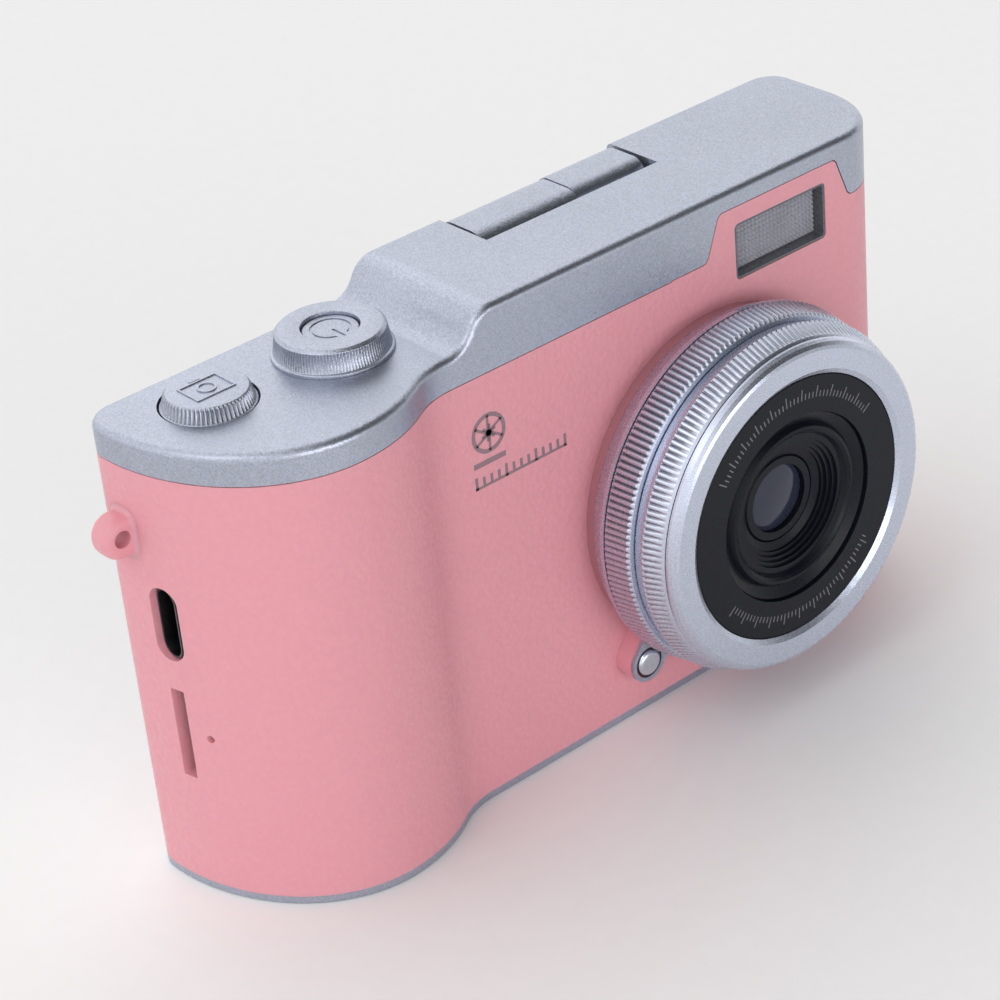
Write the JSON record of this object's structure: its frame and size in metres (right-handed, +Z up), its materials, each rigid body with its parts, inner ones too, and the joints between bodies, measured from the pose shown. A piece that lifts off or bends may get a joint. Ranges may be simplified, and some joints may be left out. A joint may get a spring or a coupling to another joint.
{
  "type": "compact digital camera",
  "caption": "Compact digital camera with a side grip, a round lens with knurled rings, a stepped top with shutter and power controls, a flash window and a flip-up rear screen.",
  "frame": {"origin": "middle of the base, on the face the camera stands on", "axes": "+Z up, the lens looks along -Y, +X runs from the grip towards the lens end"},
  "size_m": [0.1157, 0.0381, 0.0666],
  "materials": {
    "pink_grain": "fine leather-grain moulded plastic, satin",
    "pink_smooth": "smooth satin moulded plastic",
    "silver_paint": "silver metallic paint on plastic, satin with fine sparkle",
    "ring_metal": "anodised aluminium, bead blasted",
    "button_chrome": "polished dome",
    "black_satin": "black satin moulded plastic",
    "coated_glass": "coated optical glass",
    "flash_clear": "clear prismatic plastic window",
    "reflector": "bright reflector",
    "screen_dark": "dark cover glass",
    "lcd": "dark display stack",
    "board": "fibreglass board with parts",
    "steel": "plain steel",
    "insert_brass": "nickelled brass",
    "battery_wrap": "shrink film",
    "silicone": "moulded silicone",
    "key_silver": "silver painted keys"
  },
  "bodies": {
    "camera_body": {"aperture_stop": "black_satin", "battery": "battery_wrap", "bottom_plate": "silver_paint", "card_socket": "steel", "case_screws": "steel", "chassis": "steel", "flash_board": "board", "flash_frame": "black_satin", "flash_reflector": "reflector", "flash_window": "flash_clear", "front_cover": "pink_grain", "front_element": "coated_glass", "hinge_shaft": "steel", "image_sensor": "board", "inner_elements": "coated_glass", "ir_filter": "coated_glass", "key_board": "board", "key_mat": "silicone", "lens_baffle": "black_satin", "lens_barrel": "black_satin", "lens_bezel": "ring_metal", "lens_collar": "pink_smooth", "lens_holder": "black_satin", "lens_screws": "steel", "lens_tube": "black_satin", "main_board": "board", "mount_ring": "ring_metal", "name_ring": "black_satin", "power_dial": "ring_metal", "rear_cover": "pink_grain", "release_housing": "pink_smooth", "release_plate": "silver_paint", "reset_switch": "steel", "screen_cable": "silicone", "sensor_board": "board", "shutter_spring": "steel", "speaker": "silicone", "strap_lug": "pink_smooth", "top_board": "board", "top_cover": "silver_paint", "tripod_insert": "insert_brass", "usb_shell": "steel", "usb_tongue": "silicone"},
    "screen": {"screen_back": "silver_paint", "screen_bezel": "black_satin", "screen_glass": "screen_dark", "lcd_panel": "lcd", "hinge_barrel": "silver_paint", "cable_barrel": "silver_paint"},
    "shutter_key": {"shutter_button": "ring_metal"},
    "power_key": {"power_button": "ring_metal"},
    "release_key": {"release_button": "button_chrome"},
    "zoom_control_ring": {"rear_ring": "ring_metal"},
    "focus_control_ring": {"front_ring": "ring_metal"},
    "zoom_in_button_body": {"zoom_in_button": "key_silver"},
    "zoom_out_button_body": {"zoom_out_button": "key_silver"},
    "navigation_ring_body": {"navigation_ring": "key_silver"},
    "ok_button_body": {"ok_button": "key_silver"},
    "menu_button_body": {"menu_button": "key_silver"},
    "playback_button_body": {"playback_button": "key_silver"}
  },
  "joints": [
    {"name": "screen_flip", "type": "hinge", "parent": "camera_body", "child": "screen", "pos_m": [0.012, 0.007, 0.06235], "axis": [1, 0, 0], "range_deg": [0, 180]},
    {"name": "shutter_press", "type": "slide", "parent": "camera_body", "child": "shutter_key", "axis": [0, 0, -1], "range_m": [0, 0.0008], "stiffness_N_per_m": 1200, "springref_m": -0.0003, "deforming": ["shutter_spring"]},
    {"name": "power_press", "type": "slide", "parent": "camera_body", "child": "power_key", "axis": [0, 0, -1], "range_m": [0, 0.0005], "stiffness_N_per_m": 800, "springref_m": -0.0003},
    {"name": "release_press", "type": "slide", "parent": "camera_body", "child": "release_key", "axis": [0, 1, 0], "range_m": [0, 0.0006], "stiffness_N_per_m": 800, "springref_m": -0.0003},
    {"name": "zoom_ring_turn", "type": "hinge", "parent": "camera_body", "child": "zoom_control_ring", "pos_m": [0.0213, -0.018, 0.0294], "axis": [0, -1, 0], "continuous": true},
    {"name": "focus_ring_turn", "type": "hinge", "parent": "camera_body", "child": "focus_control_ring", "pos_m": [0.0213, -0.0224, 0.0294], "axis": [0, -1, 0], "continuous": true},
    {"name": "zoom_in_press", "type": "slide", "parent": "camera_body", "child": "zoom_in_button_body", "axis": [0, -1, 0], "range_m": [0, 0.0004], "stiffness_N_per_m": 800, "springref_m": -0.0003},
    {"name": "zoom_out_press", "type": "slide", "parent": "camera_body", "child": "zoom_out_button_body", "axis": [0, -1, 0], "range_m": [0, 0.0004], "stiffness_N_per_m": 800, "springref_m": -0.0003},
    {"name": "navigation_press", "type": "slide", "parent": "camera_body", "child": "navigation_ring_body", "axis": [0, -1, 0], "range_m": [0, 0.0004], "stiffness_N_per_m": 800, "springref_m": -0.0003},
    {"name": "ok_press", "type": "slide", "parent": "camera_body", "child": "ok_button_body", "axis": [0, -1, 0], "range_m": [0, 0.0004], "stiffness_N_per_m": 800, "springref_m": -0.0003},
    {"name": "menu_press", "type": "slide", "parent": "camera_body", "child": "menu_button_body", "axis": [0, -1, 0], "range_m": [0, 0.0004], "stiffness_N_per_m": 800, "springref_m": -0.0003},
    {"name": "playback_press", "type": "slide", "parent": "camera_body", "child": "playback_button_body", "axis": [0, -1, 0], "range_m": [0, 0.0004], "stiffness_N_per_m": 800, "springref_m": -0.0003}
  ]
}
